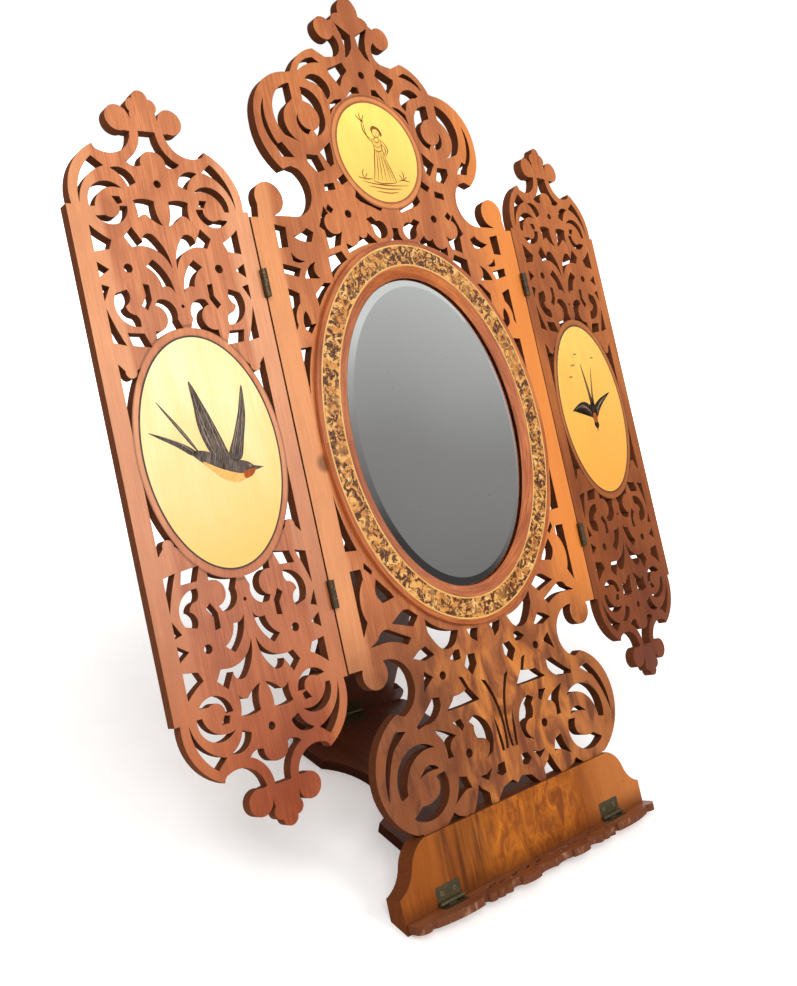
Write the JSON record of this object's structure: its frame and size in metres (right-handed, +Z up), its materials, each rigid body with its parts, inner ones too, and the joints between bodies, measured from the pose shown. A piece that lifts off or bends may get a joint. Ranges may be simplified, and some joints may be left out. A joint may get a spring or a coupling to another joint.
{
  "type": "folding triptych vanity mirror",
  "caption": "Fretwork triptych dressing mirror: oval bevelled glass in an inlaid moulding, hinged pierced wings with oval panels, a folding ledge, and a hinged foot board with a rear prop.",
  "frame": {"origin": "on the floor, at the middle of the plinth's level foot, under the front face of the leaning mirror", "axes": "+Z up, -Y out of the mirror's front, +X to the right as the viewer faces it"},
  "size_m": [0.4678, 0.3223, 0.5157],
  "materials": {
    "carved_wood": "varnished",
    "stand_wood": "varnished",
    "parquetry": "varnished",
    "pale_line": "varnished",
    "dark_line": "varnished",
    "pale_panel": "varnished",
    "mirror": "silvered",
    "hinge_metal": "bronzed"
  },
  "bodies": {
    "mirror": {"centre_board": "carved_wood", "plinth": "carved_wood", "mirror_frame": "carved_wood", "outer_line": "pale_line", "mosaic_band": "parquetry", "inner_line": "pale_line", "mirror_glass": "mirror", "mirror_back": "stand_wood", "prop_cleat": "stand_wood", "crest_roundel": "pale_panel", "crest_line": "dark_line", "fixed_leaf_left_lower": "hinge_metal", "fixed_leaf_left_upper": "hinge_metal", "fixed_leaf_right_lower": "hinge_metal", "fixed_leaf_right_upper": "hinge_metal", "wing_pin_left_lower": "hinge_metal", "wing_pin_left_upper": "hinge_metal", "wing_pin_right_lower": "hinge_metal", "wing_pin_right_upper": "hinge_metal", "ledge_pin_left": "hinge_metal", "ledge_pin_right": "hinge_metal", "plinth_leaf_left": "hinge_metal", "plinth_leaf_right": "hinge_metal", "plinth_screw_left_1": "hinge_metal", "plinth_screw_left_2": "hinge_metal", "plinth_screw_right_1": "hinge_metal", "plinth_screw_right_2": "hinge_metal", "back_leaf_left": "hinge_metal", "back_leaf_right": "hinge_metal", "foot_pin_left": "hinge_metal", "foot_pin_right": "hinge_metal"},
    "left_wing": {"wing_board_left": "carved_wood", "wing_oval_left": "pale_panel", "wing_line_left": "dark_line", "wing_leaf_left_lower": "hinge_metal", "wing_leaf_left_upper": "hinge_metal"},
    "right_wing": {"wing_board_right": "carved_wood", "wing_oval_right": "pale_panel", "wing_line_right": "dark_line", "wing_leaf_right_lower": "hinge_metal", "wing_leaf_right_upper": "hinge_metal"},
    "ledge": {"ledge_board": "carved_wood", "ledge_leaf_left": "hinge_metal", "ledge_leaf_right": "hinge_metal"},
    "foot": {"foot_board": "stand_wood", "foot_leaf_left": "hinge_metal", "foot_leaf_right": "hinge_metal", "foot_rear_leaf": "hinge_metal", "prop_pin": "hinge_metal"},
    "prop": {"prop_board": "stand_wood", "prop_leaf": "hinge_metal"}
  },
  "joints": [
    {"name": "left_wing_hinge", "type": "hinge", "parent": "mirror", "child": "left_wing", "pos_m": [-0.118, 0.16109, 0.28342], "axis": [0, 0.5, 0.866], "range_deg": [0, 180]},
    {"name": "right_wing_hinge", "type": "hinge", "parent": "mirror", "child": "right_wing", "pos_m": [0.118, 0.16109, 0.28342], "axis": [0, -0.5, -0.866], "range_deg": [0, 185.5]},
    {"name": "ledge_hinge", "type": "hinge", "parent": "mirror", "child": "ledge", "pos_m": [0, 0.00025, 0.00783], "axis": [-1, 0, 0], "range_deg": [0, 88]},
    {"name": "foot_hinge", "type": "hinge", "parent": "mirror", "child": "foot", "pos_m": [0, 0.01969, 0.0087], "axis": [-1, 0, 0], "range_deg": [0, 25]},
    {"name": "prop_hinge", "type": "hinge", "parent": "foot", "child": "prop", "pos_m": [0, 0.195, 0.0087], "axis": [1, 0, 0], "range_deg": [0, 31.5]}
  ],
  "couplings": [
    {"joint": "prop_hinge", "follows": "foot_hinge", "ratio": 1.26}
  ]
}
